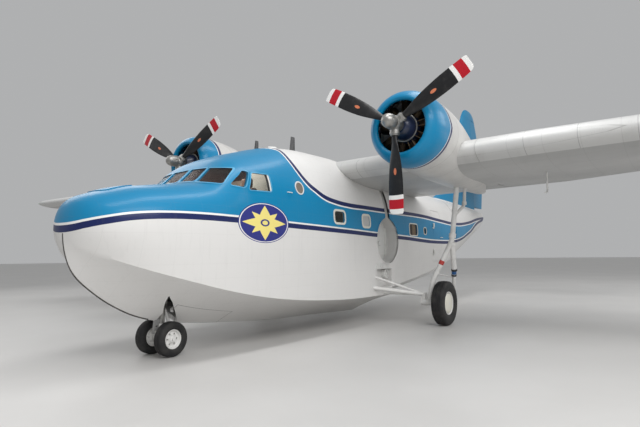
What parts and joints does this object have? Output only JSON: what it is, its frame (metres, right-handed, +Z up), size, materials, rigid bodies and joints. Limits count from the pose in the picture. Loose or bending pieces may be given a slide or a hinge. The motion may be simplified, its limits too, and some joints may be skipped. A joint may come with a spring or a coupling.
{
  "type": "amphibious flying boat, twin engined, whole aircraft",
  "caption": "Twin-engined amphibious flying boat parked on its wheels, with turning propellers, wheels, control surfaces and a cabin door.",
  "frame": {"origin": "on the ground under the middle of the overall box, on the centre plane", "axes": "-X towards the nose, +Y to starboard, +Z up"},
  "size_m": [19.15, 29.46, 7.87],
  "materials": {
    "white_paint": "gloss",
    "blue_paint": "gloss",
    "silver_paint": "satin",
    "gear_paint": "satin",
    "tyre_rubber": "matt",
    "propeller_black": "satin",
    "engine_metal": "satin",
    "glass": "clear",
    "interior_paint": "matt",
    "seat_cloth": "matt",
    "aerial_black": "satin"
  },
  "bodies": {
    "airframe": {"aerial_aft": "aerial_black", "aerial_fore": "aerial_black", "bow": "blue_paint", "cabin_roof": "white_paint", "cabin_side_port": "white_paint", "cabin_side_starboard": "white_paint", "cockpit_bulkhead": "interior_paint", "cockpit_glass": "glass", "cockpit_shell": "blue_paint", "copilot_seat": "seat_cloth", "cowl_port": "blue_paint", "cowl_starboard": "blue_paint", "engine_port": "engine_metal", "engine_starboard": "engine_metal", "fin": "blue_paint", "float_port": "silver_paint", "float_starboard": "silver_paint", "hull_afterbody": "white_paint", "hull_forebody": "white_paint", "instrument_panel": "interior_paint", "main_leg_port": "gear_paint", "main_leg_starboard": "gear_paint", "main_truss_port": "gear_paint", "main_truss_starboard": "gear_paint", "nacelle_port": "silver_paint", "nacelle_starboard": "silver_paint", "nose_strut": "gear_paint", "pilot_seat": "seat_cloth", "pitot_mast": "gear_paint", "tail_body": "white_paint", "tailplane_port": "silver_paint", "tailplane_starboard": "silver_paint", "wheel_well_port": "white_paint", "wheel_well_starboard": "white_paint", "wing_center": "silver_paint", "wing_outer_port": "silver_paint", "wing_outer_starboard": "silver_paint"},
    "door": {"cabin_door": "white_paint"},
    "rudder": {"rudder": "blue_paint"},
    "nose_fork": {"nose_fork": "gear_paint"},
    "nose_wheels": {"nose_rims": "gear_paint", "nose_tyre_port": "tyre_rubber", "nose_tyre_starboard": "tyre_rubber"},
    "flap_inner_port": {"flap_inner_port": "silver_paint"},
    "flap_outer_port": {"flap_outer_port": "silver_paint"},
    "aileron_port": {"aileron_port": "silver_paint"},
    "elevator_port": {"elevator_port": "silver_paint"},
    "propeller_port": {"propeller_port": "propeller_black"},
    "main_wheel_port": {"main_tyre_port": "tyre_rubber", "main_rim_port": "gear_paint"},
    "flap_inner_starboard": {"flap_inner_starboard": "silver_paint"},
    "flap_outer_starboard": {"flap_outer_starboard": "silver_paint"},
    "aileron_starboard": {"aileron_starboard": "silver_paint"},
    "elevator_starboard": {"elevator_starboard": "silver_paint"},
    "propeller_starboard": {"propeller_starboard": "propeller_black"},
    "main_wheel_starboard": {"main_tyre_starboard": "tyre_rubber", "main_rim_starboard": "gear_paint"}
  },
  "joints": [
    {"name": "propeller_spin_port", "type": "hinge", "parent": "airframe", "child": "propeller_port", "pos_m": [-5.095, -3.05, 4.05], "axis": [1, 0, 0], "continuous": true},
    {"name": "main_wheel_spin_port", "type": "hinge", "parent": "airframe", "child": "main_wheel_port", "pos_m": [-2.045, -2.69, 0.508], "axis": [0, 1, 0], "continuous": true},
    {"name": "propeller_spin_starboard", "type": "hinge", "parent": "airframe", "child": "propeller_starboard", "pos_m": [-5.095, 3.05, 4.05], "axis": [1, 0, 0], "continuous": true},
    {"name": "main_wheel_spin_starboard", "type": "hinge", "parent": "airframe", "child": "main_wheel_starboard", "pos_m": [-2.045, 2.69, 0.508], "axis": [0, 1, 0], "continuous": true},
    {"name": "nose_steer", "type": "hinge", "parent": "airframe", "child": "nose_fork", "pos_m": [-7.855, 0, 0.86], "axis": [0, 0, 1], "range_deg": [-45, 45]},
    {"name": "nose_wheel_spin", "type": "hinge", "parent": "nose_fork", "child": "nose_wheels", "pos_m": [-7.855, 0, 0.29], "axis": [0, 1, 0], "continuous": true},
    {"name": "door_hinge", "type": "hinge", "parent": "airframe", "child": "door", "pos_m": [0.981, -1.222, 2.1], "axis": [0, 0, -1], "range_deg": [0, 100]},
    {"name": "rudder_hinge", "type": "hinge", "parent": "airframe", "child": "rudder", "pos_m": [8.045, 0, 5], "axis": [0, 0, 1], "range_deg": [-25, 25]},
    {"name": "elevator_hinge_starboard", "type": "hinge", "parent": "airframe", "child": "elevator_starboard", "pos_m": [7.775, 2.4, 4.55], "axis": [0, 1, 0], "range_deg": [-25, 20]},
    {"name": "aileron_hinge_starboard", "type": "hinge", "parent": "airframe", "child": "aileron_starboard", "pos_m": [-1.01777, 8.2, 3.63934], "axis": [-0.1105, 0.9934, 0.0309], "range_deg": [-20, 20]},
    {"name": "flap_outer_hinge_starboard", "type": "hinge", "parent": "airframe", "child": "flap_outer_starboard", "pos_m": [-0.673, 3.64, 3.51235], "axis": [0, 0.9998, 0.0209], "range_deg": [0, 40]},
    {"name": "flap_inner_hinge_starboard", "type": "hinge", "parent": "airframe", "child": "flap_inner_starboard", "pos_m": [-0.673, 1.42, 3.46585], "axis": [0, 0.9998, 0.0209], "range_deg": [0, 40]},
    {"name": "elevator_hinge_port", "type": "hinge", "parent": "airframe", "child": "elevator_port", "pos_m": [7.775, -2.4, 4.55], "axis": [0, 1, 0], "range_deg": [-25, 20]},
    {"name": "aileron_hinge_port", "type": "hinge", "parent": "airframe", "child": "aileron_port", "pos_m": [-1.01777, -8.2, 3.63934], "axis": [0.1105, 0.9934, -0.0309], "range_deg": [-20, 20]},
    {"name": "flap_outer_hinge_port", "type": "hinge", "parent": "airframe", "child": "flap_outer_port", "pos_m": [-0.673, -3.64, 3.51235], "axis": [0, 0.9998, -0.0209], "range_deg": [0, 40]},
    {"name": "flap_inner_hinge_port", "type": "hinge", "parent": "airframe", "child": "flap_inner_port", "pos_m": [-0.673, -1.42, 3.46585], "axis": [0, 0.9998, -0.0209], "range_deg": [0, 40]}
  ],
  "couplings": [
    {"joint": "elevator_hinge_port", "follows": "elevator_hinge_starboard", "ratio": 1},
    {"joint": "aileron_hinge_port", "follows": "aileron_hinge_starboard", "ratio": -1},
    {"joint": "flap_outer_hinge_port", "follows": "flap_outer_hinge_starboard", "ratio": 1},
    {"joint": "flap_inner_hinge_port", "follows": "flap_outer_hinge_starboard", "ratio": 1},
    {"joint": "flap_inner_hinge_starboard", "follows": "flap_outer_hinge_starboard", "ratio": 1}
  ]
}
